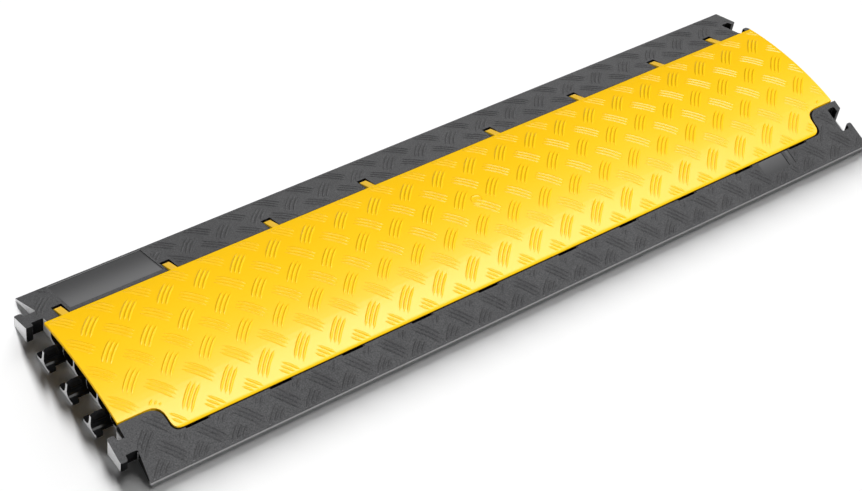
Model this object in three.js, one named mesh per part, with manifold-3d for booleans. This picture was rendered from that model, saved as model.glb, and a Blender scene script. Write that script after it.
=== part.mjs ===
// Floor cord cover: a moulded black ramp body with cable channels and a hinged yellow lid.
// Millimetres, +Z up. X runs along the cable, Y across it from the front ramp (-Y) to the
// rear ramp (+Y). The origin is the middle of the underside of the part's bounding box.

import * as THREE from 'three';
import { mergeVertices } from 'three/addons/utils/BufferGeometryUtils.js';
import Module from 'manifold-3d';

const wasm = await Module();
wasm.setup();

// Body
const bodyLength = 1000;
const bodyWidth = 280;
const edgeHeight = 3;
const rampSlope = 0.32;
const floorThickness = 3;

// Connectors between modules: heads at the left end, sockets for them at the right end
const connectorPitch = 48.4;
const headWidth = 28.5;
const headLength = 8.5;
const neckWidth = 16;
const neckLength = 8.5;
const socketClearance = 1.5;
const connectorRounding = 2.5;
const mouthRounding = 3;
const endRelief = 5.5;

// Cable channels
const webThickness = 5;
const partitionThickness = 2.4;
const channelFillet = 7.5;
const fingerWebThickness = 3.2;
const fingerWebHeight = 21;
const fingerFillet = 8;
const tipLean = 1.2;
const tipDrop = 2;
const tipLength = 5.5;
const restGap = 0.3;

// Lid
const lidThickness = 4;
const lipThickness = 1;
const lipRounding = 2.4;
const lipDrop = 0.8;
const lipSteps = 5;
const lidTopHeight = 32.4;
const crownCentreY = 6;
const crownRadius = 390;
const lidRearY = 77.5;
const lidFrontY = -102.2;
const lidEndGap = 1;
const lidOverrun = 4;
const rearGap = 3.6;
const frontGap = 2.2;
const crownBlend = 2;
const lidSteps = 28;

// Corner steps where the lid leaves the ramp whole at both ends
const cornerStepY = -72.5;
const cornerStepLength = 49;
const cornerOuterRadius = 16;
const cornerInnerRadius = 10.5;

// Hinge tabs of the lid and the bars that they snap round
const tabWidth = 8;
const tabPitch = 128.3;
const tabMiddleGap = 179.2;
const tabsPerSide = 3;
const tabMiddleX = 9.5;
const tabLeftInset = 25.5;
const tabRightInset = 58.7;
const tabJoinInset = 0.1;
const hingeY = 92.5;
const hingeZ = 14.3;
const barRadius = 2;
const barClearance = 0.3;
const knuckleRadius = 4.4;
const snapMouth = 3.2;
const barSides = 16;
const boreSides = 20;
const knuckleSides = 24;
const notchLeftGap = 1;
const notchRightGap = 3;
const notchBehindHinge = 7.8;
const notchUnderLid = 1.9;
const notchUnderKnuckle = 0.9;

// Finger slots along the front edge of the lid
const slotLength = 28;
const slotPitch = 89.4;
const slotMiddleGap = 112;
const slotsPerSide = 4;
const slotMiddleX = 6.1;
const slotLeftInset = 74;
const slotRightInset = 89;
const slotReach = 3.8;
const slotUnder = 8;
const slotFloorZ = 5;

// Smooth panels sunk into the ramps
const panelDepth = 0.8;
const rearPanelInset = 36.3;
const rearPanelLength = 111.2;
const rearPanelY0 = 87.5;
const rearPanelY1 = 137.5;
const frontPanelInset = 106.2;
const frontPanelLength = 48.8;
const frontPanelY = -122.5;
const ribInset = 111.5;
const ribWidth = 4.5;

// Values that follow from the sizes above
const headReach = headLength + neckLength;
const bodyX0 = headReach / 2 - bodyLength / 2;
const bodyX1 = bodyX0 + bodyLength;
const halfWidth = bodyWidth / 2;
const channelEdgeY = 1.5 * connectorPitch;
const socketDepth = headReach + socketClearance;
const lidX0 = bodyX0 + lidEndGap;
const lidX1 = bodyX1 - lidOverrun;
const notchFrontY = lidRearY - notchUnderLid;
const notchRearY = hingeY + notchBehindHinge;
const notchFloorZ = hingeZ - knuckleRadius - notchUnderKnuckle;
const overlap = 5;
const tall = 2 * lidTopHeight;

function rampZ(y) {
  return edgeHeight + rampSlope * (halfWidth - Math.abs(y));
}

function crownZ(y) {
  return lidTopHeight - (y - crownCentreY) ** 2 / (2 * crownRadius);
}

// The lid's top: flush with the front ramp, then easing into the crown where the two meet
function lidTopZ(y) {
  if (y > 0) {
    return crownZ(y);
  }
  const near = Math.max(1 - Math.abs(rampZ(y) - crownZ(y)) / crownBlend, 0);
  return Math.min(rampZ(y), crownZ(y)) - (crownBlend / 4) * near ** 2;
}

function seatZ(y) {
  return lidTopZ(y) - lidThickness - restGap;
}

function steps(from, to, count) {
  const out = [];
  for (let i = 0; i <= count; i += 1) {
    out.push(from + ((to - from) * i) / count);
  }
  return out;
}

function toSolid(geometry) {
  const bare = geometry.clone();
  bare.deleteAttribute('normal');
  bare.deleteAttribute('uv');
  const merged = mergeVertices(bare, 1e-5);
  return new wasm.Manifold(new wasm.Mesh({
    numProp: 3,
    vertProperties: new Float32Array(merged.attributes.position.array),
    triVerts: new Uint32Array(merged.index.array),
  }));
}

function toGeometry(solid) {
  const mesh = solid.getMesh();
  const geometry = new THREE.BufferGeometry();
  geometry.setAttribute('position', new THREE.BufferAttribute(mesh.vertProperties, 3));
  geometry.setIndex(new THREE.BufferAttribute(mesh.triVerts, 1));
  return geometry;
}

// An outline from corner points [a, b, radius], with each corner that has a radius rounded off
function roundedShape(corners) {
  const shape = new THREE.Shape();
  corners.forEach(([a, b, radius = 0], i) => {
    const here = new THREE.Vector2(a, b);
    const before = new THREE.Vector2(...corners.at(i - 1).slice(0, 2)).sub(here);
    const after = new THREE.Vector2(...corners[(i + 1) % corners.length].slice(0, 2)).sub(here);
    const start = here.clone().addScaledVector(before.normalize(), radius);
    const end = here.clone().addScaledVector(after.normalize(), radius);
    if (i === 0) {
      shape.moveTo(start.x, start.y);
    } else {
      shape.lineTo(start.x, start.y);
    }
    if (radius > 0) {
      shape.quadraticCurveTo(here.x, here.y, end.x, end.y);
    }
  });
  return shape;
}

// A prism standing on a plan outline
function planPrism(corners, z0, z1) {
  const options = { depth: z1 - z0, bevelEnabled: false, curveSegments: 5 };
  const geometry = new THREE.ExtrudeGeometry(roundedShape(corners), options);
  geometry.translate(0, 0, z0);
  return toSolid(geometry);
}

// A prism along X of an outline given in Y and Z
function sectionPrism(corners, x0, x1) {
  const options = { depth: x1 - x0, bevelEnabled: false, curveSegments: 5 };
  const geometry = new THREE.ExtrudeGeometry(roundedShape(corners), options);
  const turn = new THREE.Matrix4().makeBasis(
    new THREE.Vector3(0, 1, 0),
    new THREE.Vector3(0, 0, 1),
    new THREE.Vector3(1, 0, 0),
  );
  geometry.applyMatrix4(turn);
  geometry.translate(x0, 0, 0);
  return toSolid(geometry);
}

function box(x0, x1, y0, y1, z0, z1) {
  const geometry = new THREE.BoxGeometry(x1 - x0, y1 - y0, z1 - z0);
  geometry.translate((x0 + x1) / 2, (y0 + y1) / 2, (z0 + z1) / 2);
  return toSolid(geometry);
}

function rodAlongX(radius, x0, x1, sides) {
  const geometry = new THREE.CylinderGeometry(radius, radius, x1 - x0, sides);
  geometry.rotateZ(Math.PI / 2);
  geometry.translate((x0 + x1) / 2, hingeY, hingeZ);
  return toSolid(geometry);
}

function spread(middle, gap, pitch, perSide) {
  const places = [];
  for (let i = 0; i < perSide; i += 1) {
    const away = gap / 2 + i * pitch;
    places.push(middle - away, middle + away);
  }
  return places;
}

const tabPlaces = [
  bodyX0 + tabLeftInset,
  ...spread(tabMiddleX, tabMiddleGap, tabPitch, tabsPerSide),
  bodyX1 - tabRightInset,
];
const slotPlaces = [
  bodyX0 + slotLeftInset,
  ...spread(slotMiddleX, slotMiddleGap, slotPitch, slotsPerSide),
  bodyX1 - slotRightInset,
];
const connectorPlaces = [-2, -1, 0, 1, 2].map((i) => i * connectorPitch);

// One channel of the section, from its rear wall at y1 over its floor to its front wall at y0
function channelCorners(y1, y0) {
  return [
    [y1, seatZ(y1)],
    [y1, floorThickness, channelFillet],
    [y0, floorThickness, channelFillet],
    [y0, seatZ(y0)],
  ];
}

// The body's section under the lid: ramps, lid seats, channels, webs and partitions
function bodySection() {
  const web = webThickness / 2;
  const partition = partitionThickness / 2;
  const walls = [
    [channelEdgeY, connectorPitch + web],
    [connectorPitch - web, connectorPitch / 2 + partition],
    [connectorPitch / 2 - partition, web],
    [-web, -connectorPitch / 2 + partition],
    [-connectorPitch / 2 - partition, -connectorPitch + web],
    [-connectorPitch - web, -channelEdgeY],
  ];
  const rearStepY = lidRearY + rearGap;
  const frontStepY = lidFrontY - frontGap;
  return [
    [-halfWidth, 0],
    [halfWidth, 0],
    [halfWidth, edgeHeight],
    [rearStepY, rampZ(rearStepY)],
    [rearStepY, seatZ(rearStepY)],
    ...walls.flatMap(([y1, y0]) => channelCorners(y1, y0)),
    [frontStepY, seatZ(frontStepY)],
    [frontStepY, rampZ(frontStepY)],
    [-halfWidth, edgeHeight],
  ];
}

// The body's plan: its left end stands back by the relief at the channels and the necks' outsides
function bodyPlan() {
  const neckY = connectorPlaces.at(-1);
  const neckEdgeY = neckY + neckWidth / 2;
  const reliefX = bodyX0 + endRelief;
  return [
    [bodyX0, -halfWidth],
    [bodyX1, -halfWidth],
    [bodyX1, halfWidth],
    [bodyX0, halfWidth],
    [reliefX, neckEdgeY],
    [reliefX, -channelEdgeY],
    [bodyX0, -channelEdgeY],
    [bodyX0, -neckY],
    [reliefX, -neckEdgeY],
  ];
}

// The whole ramp, up to the channel, on the side that sign gives
function rampSection(sign) {
  const corners = [
    [-halfWidth, 0],
    [-channelEdgeY, 0],
    [-channelEdgeY, rampZ(channelEdgeY)],
    [-halfWidth, edgeHeight],
  ];
  return sign < 0 ? corners : corners.map(([y, z]) => [-y, z]).reverse();
}

// The plan of the lid in the middle of its length, with its front corners stepped back.
// grow moves the stepped outline outwards for the clearance in the body.
function lidPlan(grow) {
  const left = bodyX0 + cornerStepLength - grow;
  const right = bodyX1 - cornerStepLength + grow;
  const stepY = cornerStepY - grow;
  const frontY = lidFrontY - grow;
  return [
    [lidX0 - overlap * Math.sign(grow), stepY],
    [left, stepY, cornerOuterRadius],
    [left, frontY, cornerInnerRadius],
    [right, frontY, cornerInnerRadius],
    [right, stepY, cornerOuterRadius],
    [lidX1 + (lidOverrun + overlap) * Math.sign(grow), stepY],
    [lidX1 + (lidOverrun + overlap) * Math.sign(grow), lidRearY],
    [lidX0 - overlap * Math.sign(grow), lidRearY],
  ];
}

// Plan of a connector head on its neck, which widens at mouthX; grow makes the socket for it
function headPlan(y, tipX, mouthX, grow) {
  const head = headWidth / 2 + grow;
  const neck = neckWidth / 2 + grow;
  const root = neck + mouthRounding;
  const lipX = tipX + headLength + 2 * grow;
  return [
    [tipX, y + head, connectorRounding],
    [tipX, y - head, connectorRounding],
    [lipX, y - head, connectorRounding],
    [lipX, y - neck, connectorRounding / 2],
    [mouthX, y - neck, mouthRounding],
    [mouthX, y - root],
    [mouthX + overlap, y - root],
    [mouthX + overlap, y + root],
    [mouthX, y + root],
    [mouthX, y + neck, mouthRounding],
    [lipX, y + neck, connectorRounding / 2],
    [lipX, y + head, connectorRounding],
  ];
}

// Foot and flared web of the finger that carries each channel web on
function fingerSection(y) {
  const foot = headWidth / 2;
  const web = fingerWebThickness / 2;
  return [
    [y - foot, 0],
    [y + foot, 0],
    [y + foot, floorThickness],
    [y + web, floorThickness, fingerFillet],
    [y + web, fingerWebHeight],
    [y - web, fingerWebHeight],
    [y - web, floorThickness, fingerFillet],
    [y - foot, floorThickness],
  ];
}

// What is cut off above the foot, so that a finger's web leans back and slopes at its tip
function tipCut(tipX) {
  const shoulderX = tipX + tipLean;
  const topX = shoulderX + tipLength;
  const corner = new THREE.Shape();
  corner.moveTo(tipX, floorThickness);
  corner.lineTo(shoulderX, fingerWebHeight - tipDrop);
  corner.lineTo(topX, fingerWebHeight);
  corner.lineTo(topX, tall);
  corner.lineTo(tipX - overlap, tall);
  corner.lineTo(tipX - overlap, floorThickness);
  const geometry = new THREE.ExtrudeGeometry(corner, { depth: bodyWidth, bevelEnabled: false });
  geometry.rotateX(Math.PI / 2);
  geometry.translate(0, halfWidth, 0);
  return toSolid(geometry);
}

function addHeads(body) {
  let solid = body;
  const tipX = bodyX0 - headReach;
  const mouthX = bodyX0 + endRelief;
  const cut = tipCut(tipX);
  for (const y of connectorPlaces) {
    const plan = planPrism(headPlan(y, tipX, mouthX, 0), -overlap, tall);
    if (Math.abs(y) > channelEdgeY) {
      solid = solid.add(sectionPrism(rampSection(y), tipX, mouthX + overlap).intersect(plan));
    } else {
      const finger = sectionPrism(fingerSection(y), tipX, mouthX + overlap).subtract(cut);
      solid = solid.add(finger.intersect(plan));
    }
  }
  return solid;
}

function cutSockets(body) {
  let solid = body;
  for (const y of connectorPlaces) {
    const plan = headPlan(y, bodyX1 - socketDepth, bodyX1, socketClearance);
    solid = solid.subtract(planPrism(plan, -overlap, tall));
  }
  return solid;
}

// The front ramp goes up whole beside the stepped corners of the lid
function addCorners(body) {
  const ramp = sectionPrism(rampSection(-1), bodyX0, bodyX1);
  return body.add(ramp.subtract(planPrism(lidPlan(frontGap), -overlap, tall)));
}

function cutHingeNotches(body) {
  let solid = body;
  for (const x of tabPlaces) {
    const x0 = x - tabWidth / 2 - notchLeftGap;
    const x1 = x + tabWidth / 2 + notchRightGap;
    solid = solid.subtract(box(x0, x1, notchFrontY, notchRearY, notchFloorZ, tall));
    solid = solid.add(rodAlongX(barRadius, x0 - 1, x1 + 1, barSides));
  }
  return solid;
}

function cutFingerSlots(body) {
  let solid = body;
  for (const x of slotPlaces) {
    const y0 = lidFrontY - slotReach;
    const y1 = lidFrontY + slotUnder;
    solid = solid.subtract(box(x - slotLength / 2, x + slotLength / 2, y0, y1, slotFloorZ, tall));
  }
  return solid;
}

// The recess of a panel: the ramp's surface layer between the panel's sides
function panelRecess(x0, x1, y0, y1) {
  return sectionPrism([
    [y0, rampZ(y0) - panelDepth],
    [y1, rampZ(y1) - panelDepth],
    [y1, rampZ(y1) + 1],
    [y0, rampZ(y0) + 1],
  ], x0, x1);
}

function cutPanels(body) {
  const rearX0 = bodyX0 + rearPanelInset;
  const frontX1 = bodyX1 - frontPanelInset;
  const frontX0 = frontX1 - frontPanelLength;
  const ribX1 = bodyX1 - ribInset;
  const frontY1 = lidFrontY + overlap;
  return body
    .subtract(panelRecess(rearX0, rearX0 + rearPanelLength, rearPanelY0, rearPanelY1))
    .subtract(panelRecess(frontX0, ribX1 - ribWidth, frontPanelY, frontY1))
    .subtract(panelRecess(ribX1, frontX1, frontPanelY, frontY1));
}

function makeBase() {
  let solid = sectionPrism(bodySection(), bodyX0, bodyX1);
  solid = addCorners(solid);
  solid = solid.intersect(planPrism(bodyPlan(), -overlap, tall));
  solid = addHeads(solid);
  solid = cutHingeNotches(solid);
  solid = cutFingerSlots(solid);
  solid = cutPanels(solid);
  return cutSockets(solid);
}

// The lid's section, thinned to a lip over the finger slots, with the lip's top edge rounded over
function lidSection() {
  const shoulderY = lidFrontY + lipRounding;
  const edge = steps(0, Math.PI / 2, lipSteps).slice(0, -1).map((angle) => {
    const y = shoulderY - lipRounding * Math.cos(angle);
    return [y, lidTopZ(y) - lipDrop * (1 - Math.sin(angle))];
  });
  const top = steps(shoulderY, lidRearY, lidSteps).map((y) => [y, lidTopZ(y)]);
  const under = steps(lidRearY, lidFrontY + slotUnder, lidSteps);
  const underside = under.map((y) => [y, lidTopZ(y) - lidThickness]);
  const [lipY, lipZ] = edge[0];
  return [...underside, [lipY, lipZ - lipThickness], ...edge, ...top];
}

// Where a straight line from [y, z] touches the knuckle's flats: turn 1 below it, -1 above it
function knuckleTouch([y, z], turn) {
  const radius = knuckleRadius * Math.cos(Math.PI / knuckleSides);
  const away = Math.hypot(y - hingeY, z - hingeZ);
  const angle = Math.atan2(z - hingeZ, y - hingeY) + turn * Math.acos(radius / away);
  return [hingeY + radius * Math.cos(angle), hingeZ + radius * Math.sin(angle)];
}

// A tab slopes down from the lid's rear edge to a knuckle, open below to snap over its bar
function tab(x) {
  const x0 = x - tabWidth / 2;
  const x1 = x + tabWidth / 2;
  const rootY = lidRearY - overlap;
  const low = lidThickness - tabJoinInset;
  const edgeBelow = [lidRearY, lidTopZ(lidRearY) - low];
  const edgeAbove = [lidRearY, lidTopZ(lidRearY) - tabJoinInset];
  const arm = sectionPrism([
    [rootY, lidTopZ(rootY) - low],
    edgeBelow,
    knuckleTouch(edgeBelow, 1),
    knuckleTouch(edgeAbove, -1),
    edgeAbove,
    [rootY, lidTopZ(rootY) - tabJoinInset],
  ], x0, x1);
  const bore = rodAlongX(barRadius + barClearance, x0 - 1, x1 + 1, boreSides);
  const mouthY0 = hingeY - snapMouth / 2;
  const mouth = box(x0 - 1, x1 + 1, mouthY0, mouthY0 + snapMouth, 0, hingeZ);
  return arm.add(rodAlongX(knuckleRadius, x0, x1, knuckleSides)).subtract(bore).subtract(mouth);
}

function makeLid() {
  let solid = sectionPrism(lidSection(), lidX0, lidX1).intersect(planPrism(lidPlan(0), -overlap, tall));
  for (const x of tabPlaces) {
    solid = solid.add(tab(x));
  }
  return solid;
}

function blackRubber() {
  return new THREE.MeshStandardMaterial({ color: 0x2b2b2c, roughness: 0.6, metalness: 0 });
}

function yellowPlastic() {
  return new THREE.MeshStandardMaterial({ color: 0xf7c200, roughness: 0.45, metalness: 0 });
}

function piece(name, solid, material) {
  const mesh = new THREE.Mesh(toGeometry(solid), material);
  mesh.name = name;
  return mesh;
}

const group = new THREE.Group();
group.add(piece('base', makeBase(), blackRubber()));
group.add(piece('lid', makeLid(), yellowPlastic()));

export default group;
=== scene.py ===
import math

import bmesh
import bpy
from mathutils import Matrix, Quaternion, Vector
from mathutils.bvhtree import BVHTree


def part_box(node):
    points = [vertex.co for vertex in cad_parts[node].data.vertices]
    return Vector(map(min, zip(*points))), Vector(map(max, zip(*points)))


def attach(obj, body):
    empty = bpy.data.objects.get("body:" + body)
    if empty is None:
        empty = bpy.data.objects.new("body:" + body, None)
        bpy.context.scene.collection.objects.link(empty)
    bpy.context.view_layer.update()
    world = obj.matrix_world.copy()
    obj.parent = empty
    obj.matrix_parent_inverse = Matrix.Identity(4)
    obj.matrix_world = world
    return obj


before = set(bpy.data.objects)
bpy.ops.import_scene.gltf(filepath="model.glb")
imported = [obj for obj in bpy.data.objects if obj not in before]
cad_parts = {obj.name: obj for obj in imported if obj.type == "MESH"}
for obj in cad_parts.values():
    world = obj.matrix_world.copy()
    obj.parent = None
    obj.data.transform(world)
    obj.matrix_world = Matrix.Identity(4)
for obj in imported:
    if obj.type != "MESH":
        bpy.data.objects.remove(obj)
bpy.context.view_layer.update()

# Looks of the floor cord cover, in metres. X runs along the cable channels, +Y to the hinged edge.

MM = 0.001

# Camera, worked out from the photograph's vanishing points and outlines
CAMERA_PLACE = (-1.09765, -1.13165, 1.55784)
CAMERA_AIM = (-0.05882, -0.01186, 0.0)
CAMERA_ROLL = math.radians(9.727)
CAMERA_LENS_MM = 81.684
SENSOR_WIDTH_MM = 36.0

# Tread: groups of three slender raised bars, alternately leaning to each side
BARS_IN_GROUP = 3
BAR_SPACING = 4.6 * MM
BAR_LENGTH = 34 * MM
# Width and height of a bar
LID_BAR = (3.8 * MM, 0.95 * MM)
RAMP_BAR = (3.3 * MM, 0.95 * MM)
BAR_BOW = 1.3 * MM
BAR_STEPS = 14
BAR_ACROSS = 8
BAR_SINK = 0.05 * MM
BAR_MARGIN = 1.6 * MM
BAR_TAPER = 5 * MM
BAR_TIP_SHARE = 0.35
BAR_LEAST_SHARE = 0.08
SHORTEST_BAR = 7 * MM
TREAD_PITCH_X = 44.5 * MM
LID_PITCH_Y = 42 * MM
LID_COLUMNS = 23
LID_RISING_ROWS = 4
LID_FALLING_ROWS = 5
RAMP_COLUMNS = 24
RISING_ANGLE = math.radians(45)
FALLING_ANGLE = math.radians(-50)

# Ring in the middle of the lid
RING_PLACE = (7.3 * MM, -2.7 * MM)
RING_RADIUS = 6.4 * MM
RING_WIDTH = 3.2 * MM
RING_HEIGHT = 0.7 * MM
RING_STEPS = 40

# Places and sizes of the CAD part that the looks follow
BASE_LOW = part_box("base")[0]
LID_LOW, LID_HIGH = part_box("lid")
HEAD_REACH = 17 * MM
BODY_LEFT = BASE_LOW.x + HEAD_REACH
FRONT = BASE_LOW.y
CHANNEL_EDGE = 72.6 * MM
LID_REAR = 77.5 * MM
RAMP_FOOT = 3 * MM
RAMP_SLOPE = 0.32
RAMP_FLATNESS = 0.3 * MM
EDGE_ROUNDING = 0.6 * MM
EDGE_SEGMENTS = 3
SHARP_ANGLE = math.radians(30)
FLAT_ANGLE = math.radians(0.3)
TREAD_LEFT = BODY_LEFT + 36.8 * MM
LID_TREAD_FRONT = FRONT + 61.3 * MM

# The lid's front edge is shaded as rounded over this width, by this height
LID_EDGE_WIDTH = 5 * MM
LID_EDGE_FALL = 0.7 * MM

# Colours
RAMP_DARK = (0.047, 0.047, 0.0485)
RAMP_LIGHT = (0.059, 0.059, 0.0605)
# Near black of the smooth channels, also used as painted shade on steep sides and in gaps sunk
# below the ramps
CHANNEL_AND_SHADE_BLACK = (0.008, 0.008, 0.0085)
# Light grey of the ramps' low front face: a painted highlight along the bottom front edge
FOOT_HIGHLIGHT_GREY = (0.32, 0.32, 0.323)
# Painted sheen on the sunk rear panel: lighter next to the lid, darker outward
PANEL_SHEEN_LIGHT = (0.11, 0.11, 0.112)
PANEL_SHEEN_DARK = (0.04, 0.04, 0.041)
# Light grey painted on the left end faces as light falling from the left
LIT_END_DARK = (0.56, 0.56, 0.565)
LIT_END_LIGHT = (0.72, 0.72, 0.725)
LID_DARK = (0.78, 0.455, 0.0012)
LID_LIGHT = (0.8, 0.47, 0.002)

FLOOR_REACH = 12.0
FLOOR_DROP = 0.0002


def cad_node(name):
    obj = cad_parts[name]
    return bpy.data.objects[obj] if isinstance(obj, str) else obj


def new_material(name):
    """A node material, its tree and its shader."""
    material = bpy.data.materials.new(name)
    material.use_nodes = True
    return material, material.node_tree, material.node_tree.nodes["Principled BSDF"]


def node(tree, kind, **values):
    made = tree.nodes.new(kind)
    for key, value in values.items():
        if key in made.inputs:
            made.inputs[key].default_value = value
        else:
            setattr(made, key, value)
    return made


def ramp(tree, stops):
    made = tree.nodes.new("ShaderNodeValToRGB")
    elements = made.color_ramp.elements
    while len(elements) < len(stops):
        elements.new(0.5)
    for element, (place, colour) in zip(elements, stops):
        element.position = place
        element.color = (*colour, 1.0)
    return made


def bump(tree, shader, heights):
    """Chains bumps: heights is a list of (height socket, strength, distance)."""
    last = None
    for socket, strength, distance in heights:
        made = node(tree, "ShaderNodeBump", Strength=strength, Distance=distance)
        tree.links.new(socket, made.inputs["Height"])
        if last is not None:
            tree.links.new(last.outputs["Normal"], made.inputs["Normal"])
        last = made
    tree.links.new(last.outputs["Normal"], shader.inputs["Normal"])


def noise(tree, scale, detail=2.0, roughness=0.5):
    place = tree.nodes.get("place") or node(tree, "ShaderNodeTexCoord", name="place")
    made = node(tree, "ShaderNodeTexNoise", Scale=scale, Detail=detail, Roughness=roughness)
    tree.links.new(place.outputs["Object"], made.inputs["Vector"])
    return made


def axes(tree, output):
    """The X, Y and Z of an output of the texture coordinates, such as Object or Normal."""
    place = tree.nodes.get("place") or node(tree, "ShaderNodeTexCoord", name="place")
    parts = node(tree, "ShaderNodeSeparateXYZ")
    tree.links.new(place.outputs[output], parts.inputs["Vector"])
    return parts.outputs


def between(tree, value, start, end):
    """0 where the value is at start or short of it, rising smoothly to 1 at end."""
    made = node(tree, "ShaderNodeMapRange", interpolation_type="SMOOTHSTEP")
    made.inputs["From Min"].default_value = start
    made.inputs["From Max"].default_value = end
    tree.links.new(value, made.inputs["Value"])
    return made.outputs["Result"]


def calculate(tree, operation, *values):
    made = node(tree, "ShaderNodeMath", operation=operation)
    for socket, value in zip(made.inputs, values):
        if isinstance(value, (int, float)):
            socket.default_value = value
        else:
            tree.links.new(value, socket)
    return made.outputs["Value"]


def product(tree, first, *others):
    for other in others:
        first = calculate(tree, "MULTIPLY", first, other)
    return first


def opposite(tree, value):
    return calculate(tree, "SUBTRACT", 1.0, value)


def mix_colours(tree, share, first, second, blend="MIX"):
    """share, first and second are sockets, numbers or colours."""
    made = node(tree, "ShaderNodeMix", data_type="RGBA", blend_type=blend)
    for key, value in (("Factor", share), ("A", first), ("B", second)):
        socket = [s for s in made.inputs if s.name == key and s.enabled][0]
        if isinstance(value, bpy.types.NodeSocket):
            tree.links.new(value, socket)
        elif isinstance(value, tuple):
            socket.default_value = (*value, 1.0)
        else:
            socket.default_value = value
    return [s for s in made.outputs if s.enabled][0]


def lit_left_end_mask(tree, place, facing):
    """1 on faces at the left end that look squarely along -X, save high on the front ramp: where
    light grey is painted as light falling from the left, with the high front part left dark as
    painted shade.
    """
    leftward = between(tree, facing["X"], -0.7, -0.95)
    at_end = between(tree, place["X"], BODY_LEFT + 12 * MM, BODY_LEFT + 9 * MM)
    square_on = between(tree, facing["Y"], 0.12, 0.05)
    on_front_ramp = between(tree, place["Y"], -CHANNEL_EDGE + 4 * MM, -CHANNEL_EDGE - 1 * MM)
    on_body = between(tree, place["X"], BODY_LEFT - 6 * MM, BODY_LEFT - 3 * MM)
    high_up = between(tree, place["Z"], 9 * MM, 14 * MM)
    shaded_out = product(tree, on_front_ramp, on_body, high_up)
    return product(tree, leftward, at_end, square_on, opposite(tree, shaded_out))


def black_rubber():
    """Moulded black body, smooth in the channels and with a grain on the ramps. Its colour holds
    painted light: painted shade makes steep sides and sunk gaps near black, a painted highlight
    lightens the low front face, a painted sheen lies on the rear panel, and the left end is
    painted light grey as if lit from the left.
    """
    material, tree, shader = new_material("black_rubber")
    place = axes(tree, "Object")
    facing = axes(tree, "Normal")
    grain = noise(tree, 700, 4.0, 0.65).outputs["Fac"]
    cloud = noise(tree, 9, 3.0, 0.55).outputs["Fac"]
    from_middle = calculate(tree, "ABSOLUTE", place["Y"])
    on_ramps = between(tree, from_middle, CHANNEL_EDGE - 2 * MM, CHANNEL_EDGE + 1 * MM)
    open_top = between(tree, facing["Z"], 0.2, 0.45)
    rim = between(tree, from_middle, abs(FRONT) - 4 * MM, abs(FRONT) - 2 * MM)
    ramp_height = calculate(
        tree, "MULTIPLY_ADD", from_middle, -RAMP_SLOPE, RAMP_FOOT + RAMP_SLOPE * abs(FRONT))
    sunk = calculate(tree, "SUBTRACT", ramp_height, place["Z"])
    # Painted shade: faces turned away from above, and faces sunk more than about 1.5 mm below the
    # ramp plane, such as the gaps beside the lid, get the near black
    exposed = product(tree, open_top, between(tree, sunk, 1.8 * MM, 1.1 * MM))
    grained_unshaded = product(tree, on_ramps, calculate(tree, "MAXIMUM", exposed, rim))

    tone = ramp(tree, [(0.3, RAMP_DARK), (0.7, RAMP_LIGHT)])
    tree.links.new(cloud, tone.inputs["Fac"])
    speck = ramp(tree, [(0.35, (0.6, 0.6, 0.6)), (0.7, (1.5, 1.5, 1.5))])
    tree.links.new(grain, speck.inputs["Fac"])
    worn = mix_colours(tree, 1.0, tone.outputs["Color"], speck.outputs["Color"], "MULTIPLY")
    body = mix_colours(tree, grained_unshaded, CHANNEL_AND_SHADE_BLACK, worn)
    # Painted highlight: the low outer face of the ramps is light grey
    foot_highlight = product(tree, rim, opposite(tree, open_top))
    body = mix_colours(tree, foot_highlight, body, FOOT_HIGHLIGHT_GREY)
    panel = product(tree, exposed, between(tree, sunk, 0.35 * MM, 0.6 * MM), on_ramps)
    # Painted sheen: the sunk panel is lighter next to the lid and darker towards the outer edge
    panel_sheen = ramp(tree, [(0.0, PANEL_SHEEN_LIGHT), (1.0, PANEL_SHEEN_DARK)])
    outward = between(tree, from_middle, LID_REAR + 8 * MM, abs(FRONT) - 8 * MM)
    tree.links.new(outward, panel_sheen.inputs["Fac"])
    body = mix_colours(tree, panel, body, panel_sheen.outputs["Color"])

    # Painted light: the left end faces are light grey, as if lit from the left
    pale = ramp(tree, [(0.3, LIT_END_DARK), (0.7, LIT_END_LIGHT)])
    tree.links.new(grain, pale.inputs["Fac"])
    body = mix_colours(tree, lit_left_end_mask(tree, place, facing), body, pale.outputs["Color"])
    tree.links.new(body, shader.inputs["Base Color"])

    gloss = ramp(tree, [(0.0, (0.16, 0.16, 0.16)), (1.0, (0.55, 0.55, 0.55))])
    tree.links.new(grained_unshaded, gloss.inputs["Fac"])
    tree.links.new(gloss.outputs["Color"], shader.inputs["Roughness"])
    shader.inputs["IOR"].default_value = 1.27
    height = product(tree, grain, grained_unshaded, opposite(tree, panel))
    bump(tree, shader, [(height, 0.45, 0.5 * MM)])
    return material


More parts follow.
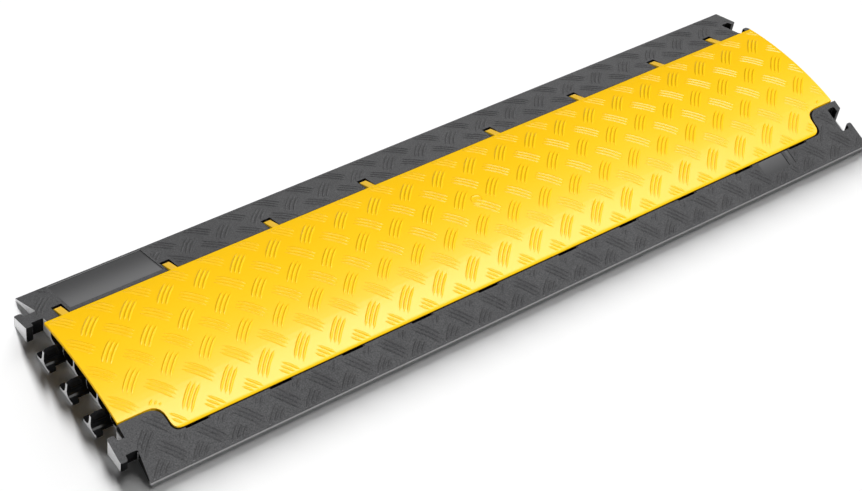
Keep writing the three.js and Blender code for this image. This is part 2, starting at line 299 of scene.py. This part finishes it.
def yellow_plastic():
    """Moulded yellow lid: even signal yellow, satin, its front edge rounded over."""
    material, tree, shader = new_material("yellow_plastic")
    place = axes(tree, "Object")
    grain = noise(tree, 1100, 2.0, 0.5).outputs["Fac"]
    cloud = noise(tree, 7, 3.0, 0.5).outputs["Fac"]
    tone = ramp(tree, [(0.3, LID_DARK), (0.7, LID_LIGHT)])
    tree.links.new(cloud, tone.inputs["Fac"])
    tree.links.new(tone.outputs["Color"], shader.inputs["Base Color"])
    gloss = ramp(tree, [(0.3, (0.35, 0.35, 0.35)), (0.75, (0.4, 0.4, 0.4))])
    tree.links.new(cloud, gloss.inputs["Fac"])
    tree.links.new(gloss.outputs["Color"], shader.inputs["Roughness"])
    shader.inputs["IOR"].default_value = 1.7
    to_edge = node(tree, "ShaderNodeMapRange")
    to_edge.inputs["From Min"].default_value = LID_LOW.y + LID_EDGE_WIDTH
    to_edge.inputs["From Max"].default_value = LID_LOW.y
    tree.links.new(place["Y"], to_edge.inputs["Value"])
    fall = opposite(tree, product(tree, to_edge.outputs["Result"], to_edge.outputs["Result"]))
    bump(tree, shader, [(grain, 0.12, 0.3 * MM), (fall, 1.0, LID_EDGE_FALL)])
    return material


def smooth_group():
    """A modifier group that shades its mesh smooth."""
    group = bpy.data.node_groups.new("smooth_faces", "GeometryNodeTree")
    group.interface.new_socket("Geometry", in_out="INPUT", socket_type="NodeSocketGeometry")
    group.interface.new_socket("Geometry", in_out="OUTPUT", socket_type="NodeSocketGeometry")
    start = group.nodes.new("NodeGroupInput")
    smooth = group.nodes.new("GeometryNodeSetShadeSmooth")
    end = group.nodes.new("NodeGroupOutput")
    group.links.new(start.outputs[0], smooth.inputs["Geometry"])
    group.links.new(smooth.outputs["Geometry"], end.inputs[0])
    return group


def soften(obj, width, smooth):
    """Rounds the edges of a CAD node and evens its shading."""
    flat = obj.modifiers.new("flatten", "DECIMATE")
    flat.decimate_type = "DISSOLVE"
    flat.angle_limit = FLAT_ANGLE
    edges = obj.modifiers.new("edges", "BEVEL")
    edges.width = width
    edges.segments = EDGE_SEGMENTS
    edges.limit_method = "ANGLE"
    edges.angle_limit = SHARP_ANGLE
    edges.use_clamp_overlap = True
    faces = obj.modifiers.new("faces", "NODES")
    faces.node_group = smooth
    normals = obj.modifiers.new("normals", "WEIGHTED_NORMAL")
    normals.keep_sharp = True
    normals.weight = 100


def surface_of(name):
    """Looks down on a CAD node: gives the place and normal of its top at x, y."""
    mesh = cad_node(name).data
    tree = BVHTree.FromPolygons(
        [v.co for v in mesh.vertices],
        [tuple(p.vertices) for p in mesh.polygons],
    )

    def top(x, y):
        place, normal, _, _ = tree.ray_cast(Vector((x, y, 1.0)), Vector((0, 0, -1)))
        return place, normal

    return top


def bar_rings(top, allowed, centre, angle, size):
    """The stretch of one bar that lies on its surface, as rings of points across it."""
    width, height = size
    along = Vector((math.cos(angle), math.sin(angle)))
    across = Vector((-along.y, along.x))
    half = BAR_LENGTH / 2

    def bow(s):
        return BAR_BOW * (0.5 - s * s)

    runs, run = [], []
    for i in range(BAR_STEPS * 2 + 1):
        s = -1 + i / BAR_STEPS
        spot = centre + along * (s * half) + across * bow(s)
        if allowed(spot.x, spot.y):
            run.append(s)
        else:
            runs.append(run)
            run = []
    runs.append(run)
    best = max(runs, key=len)
    if len(best) < 2 or (best[-1] - best[0]) * half < SHORTEST_BAR:
        return None
    rings = []
    for i in range(BAR_STEPS + 1):
        s = best[0] + (best[-1] - best[0]) * i / BAR_STEPS
        swell = max(1 - s ** 4, 0.0)
        to_end = min(i, BAR_STEPS - i) * (best[-1] - best[0]) * half / BAR_STEPS
        taper = min(1.0, to_end / BAR_TAPER)
        taper = taper * taper * (3 - 2 * taper)
        share = swell ** 0.5 * (BAR_TIP_SHARE + (1 - BAR_TIP_SHARE) * taper)
        reach = width / 2 * max(share, BAR_LEAST_SHARE)
        ring = []
        for j in range(BAR_ACROSS + 1):
            t = -1 + 2 * j / BAR_ACROSS
            spot = centre + along * (s * half) + across * (bow(s) + t * reach)
            place, normal = top(spot.x, spot.y)
            if place is None:
                return None
            lift = height * swell ** 0.5 * taper * (1 + math.cos(math.pi * t)) / 2
            ring.append(place + normal * (lift - BAR_SINK))
        rings.append(ring)
    return rings


def tread(name, groups, top, allowed, size):
    """One mesh of all the bars of the groups, given as (x, y, angle) of their middles."""
    made = bmesh.new()
    for x, y, angle in groups:
        across = Vector((-math.sin(angle), math.cos(angle)))
        for k in range(BARS_IN_GROUP):
            offset = (k - (BARS_IN_GROUP - 1) / 2) * BAR_SPACING
            rings = bar_rings(top, allowed, Vector((x, y)) + across * offset, angle, size)
            if rings is None:
                continue
            rows = [[made.verts.new(p) for p in ring] for ring in rings]
            for a, b in zip(rows, rows[1:]):
                for j in range(BAR_ACROSS):
                    made.faces.new((a[j], b[j], b[j + 1], a[j + 1]))
            outline = rows[0] + [row[-1] for row in rows[1:]]
            outline += list(reversed(rows[-1][:-1])) + [row[0] for row in reversed(rows[1:-1])]
            made.faces.new(outline)
    return finish(name, made)


def finish(name, made):
    """Makes an object of a bmesh."""
    bmesh.ops.recalc_face_normals(made, faces=made.faces)
    for face in made.faces:
        face.smooth = True
    mesh = bpy.data.meshes.new(name)
    made.to_mesh(mesh)
    made.free()
    obj = bpy.data.objects.new(name, mesh)
    bpy.context.scene.collection.objects.link(obj)
    return obj


def lattice(x0, y0, pitch_x, pitch_y, columns, rows, angle):
    return [
        (x0 + i * pitch_x, y0 + j * pitch_y, angle) for j in range(rows) for i in range(columns)
    ]


def lid_tread():
    top = surface_of("lid")

    def allowed(x, y):
        spread = (-BAR_MARGIN, BAR_MARGIN)
        hits = [top(x + a, y + b)[0] for a in spread for b in spread]
        inside = LID_LOW.x + BAR_MARGIN < x < LID_HIGH.x - BAR_MARGIN
        return inside and all(h is not None for h in hits) and y < LID_REAR - BAR_MARGIN

    groups = lattice(
        TREAD_LEFT, LID_TREAD_FRONT,
        TREAD_PITCH_X, LID_PITCH_Y, LID_COLUMNS, LID_RISING_ROWS, RISING_ANGLE)
    groups += lattice(
        TREAD_LEFT - TREAD_PITCH_X / 2, LID_TREAD_FRONT - LID_PITCH_Y / 2,
        TREAD_PITCH_X, LID_PITCH_Y, LID_COLUMNS, LID_FALLING_ROWS, FALLING_ANGLE)
    return tread("lid_tread", groups, top, allowed, LID_BAR)


def ring_mark():
    """A thin raised ring in the middle of the lid."""
    top = surface_of("lid")
    made = bmesh.new()
    rows = []
    for i in range(RING_STEPS):
        turn = 2 * math.pi * i / RING_STEPS
        outward = Vector((math.cos(turn), math.sin(turn)))
        row = []
        for j in range(BAR_ACROSS + 1):
            t = -1 + 2 * j / BAR_ACROSS
            spot = Vector(RING_PLACE) + outward * (RING_RADIUS + t * RING_WIDTH / 2)
            place, normal = top(spot.x, spot.y)
            lift = RING_HEIGHT * (1 + math.cos(math.pi * t)) / 2
            row.append(made.verts.new(place + normal * (lift - BAR_SINK)))
        rows.append(row)
    for a, b in zip(rows, rows[1:] + rows[:1]):
        for j in range(BAR_ACROSS):
            made.faces.new((a[j], b[j], b[j + 1], a[j + 1]))
        made.faces.new((a[-1], b[-1], b[0], a[0]))
    return finish("ring_mark", made)


def ramp_tread(name, sign, rows):
    """Bars on one ramp, on the side that sign gives."""
    top = surface_of("base")
    edge = abs(FRONT)

    def allowed(x, y):
        for a in (-BAR_MARGIN, BAR_MARGIN):
            for b in (-BAR_MARGIN, BAR_MARGIN):
                place, _ = top(x + a, y + b)
                plane = RAMP_FOOT + RAMP_SLOPE * (edge - abs(y + b))
                if place is None or abs(place.z - plane) > RAMP_FLATNESS:
                    return False
        return BODY_LEFT + BAR_MARGIN < x

    groups = []
    for away, offset, angle in rows:
        x0 = TREAD_LEFT + (offset - 1) * TREAD_PITCH_X
        groups += lattice(x0, sign * (edge - away), TREAD_PITCH_X, 0, RAMP_COLUMNS, 1, angle)
    return tread(name, groups, top, allowed, RAMP_BAR)


def set_camera():
    data = bpy.data.cameras.new("camera")
    data.lens = CAMERA_LENS_MM
    data.sensor_width = SENSOR_WIDTH_MM
    data.sensor_fit = "HORIZONTAL"
    data.clip_end = 50
    camera = bpy.data.objects.new("camera", data)
    look = Vector(CAMERA_AIM) - Vector(CAMERA_PLACE)
    turn = look.to_track_quat("-Z", "Y") @ Quaternion((0, 0, 1), CAMERA_ROLL)
    camera.matrix_world = Matrix.Translation(CAMERA_PLACE) @ turn.to_matrix().to_4x4()
    bpy.context.scene.collection.objects.link(camera)
    bpy.context.scene.camera = camera


def make_floor():
    mesh = bpy.data.meshes.new("floor")
    reach = FLOOR_REACH
    corners = [(-reach, -reach, 0), (reach, -reach, 0), (reach, reach, 0), (-reach, reach, 0)]
    mesh.from_pydata(corners, [], [(0, 1, 2, 3)])
    floor = bpy.data.objects.new("floor", mesh)
    bpy.context.scene.collection.objects.link(floor)
    floor.location.z = -FLOOR_DROP
    material, _, shader = new_material("pale_floor")
    shader.inputs["Base Color"].default_value = (0.9, 0.9, 0.9, 1)
    shader.inputs["Roughness"].default_value = 1.0
    shader.inputs["Specular IOR Level"].default_value = 0.0
    mesh.materials.append(material)
    return floor


def add_light(name, data, place, aim):
    light = bpy.data.objects.new(name, data)
    look = Vector(aim) - Vector(place)
    turn = look.to_track_quat("-Z", "Y").to_matrix().to_4x4()
    light.matrix_world = Matrix.Translation(place) @ turn
    bpy.context.scene.collection.objects.link(light)
    return light


def area_light(name, place, aim, size, watts):
    data = bpy.data.lights.new(name, "AREA")
    data.shape = "RECTANGLE"
    data.size, data.size_y = size
    data.energy = watts
    return add_light(name, data, place, aim)


def sun_light(name, direction, degrees, strength):
    """A sun as wide as the degrees say, shining from the direction."""
    data = bpy.data.lights.new(name, "SUN")
    data.energy = strength
    data.angle = math.radians(degrees)
    return add_light(name, data, direction, (0, 0, 0))


def link_light(light, objects, state):
    """Makes a light shine on the objects alone (INCLUDE), or on everything but them (EXCLUDE)."""
    receivers = bpy.data.collections.new(light.name + "_receivers")
    for obj in objects:
        receivers.objects.link(obj)
    for receiver in receivers.collection_objects:
        receiver.light_linking.link_state = state
    light.light_linking.receiver_collection = receivers


def set_light(floor, lid_pieces):
    """A soft box, a key and fills for the part alone, and two suns for the floor alone.

    The rear light grazes the black ramps, and is kept off the lid.
    """
    world = bpy.data.worlds.new("studio")
    bpy.context.scene.world = world
    world.use_nodes = True
    backdrop = world.node_tree.nodes["Background"]
    backdrop.inputs["Color"].default_value = (1, 1, 1, 1)
    backdrop.inputs["Strength"].default_value = 0.03
    bpy.context.scene.view_settings.view_transform = "Standard"
    overhead = area_light("overhead", (0.75, -0.3, 2.2), (0.75, -0.3, 0), (2.5, 1.1), 48)
    rear = area_light("rear", (1.2, 2.0, 0.85), (0, 0.1, 0), (2.4, 0.6), 19)
    left = area_light("left", (-2.0, -1.2, 0.7), (-0.4, 0, 0), (1.2, 0.8), 9)
    left_rear = area_light("left_rear", (-1.9, 0.9, 0.9), (-0.3, 0, 0), (1.0, 0.8), 16)
    key_sun = sun_light("key", (0.55, -0.6, 0.58), 25, 3.2)
    key_sun.visible_glossy = False
    low_sun = sun_light("low", (0.26, 1.0, 0.274), 9, 9.9)
    high_sun = sun_light("high", (0.8, 0.9, 0.5), 40, 2.5)
    for light in (overhead, left, left_rear, key_sun):
        link_light(light, [floor], "EXCLUDE")
    link_light(rear, [floor, *lid_pieces], "EXCLUDE")
    link_light(high_sun, [floor], "INCLUDE")
    link_light(low_sun, [floor], "INCLUDE")


set_camera()

BLACK = black_rubber()
YELLOW = yellow_plastic()
SMOOTH = smooth_group()

for name, material in (("base", BLACK), ("lid", YELLOW)):
    obj = cad_node(name)
    obj.data.materials.clear()
    obj.data.materials.append(material)
    soften(obj, EDGE_ROUNDING, SMOOTH)

LID_MARKS = [lid_tread(), ring_mark()]
for piece in LID_MARKS:
    piece.data.materials.append(YELLOW)
    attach(piece, "lid")

# Rows of groups on a ramp: distance from its outer edge, share of the pitch along X, angle
REAR_ROWS = [
    (11.3 * MM, 0, FALLING_ANGLE),
    (29.8 * MM, 0.5, RISING_ANGLE),
    (47.5 * MM, 0, FALLING_ANGLE),
]
FRONT_ROWS = [
    (4.5 * MM, 0.5, RISING_ANGLE),
    (20 * MM, 0, FALLING_ANGLE),
    (38 * MM, 0.5, RISING_ANGLE),
    (52 * MM, 0, FALLING_ANGLE),
]
for name, sign, rows in (("rear_tread", 1, REAR_ROWS), ("front_tread", -1, FRONT_ROWS)):
    bars = ramp_tread(name, sign, rows)
    bars.data.materials.append(BLACK)
    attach(bars, "base")

set_light(make_floor(), [cad_node("lid"), *LID_MARKS])
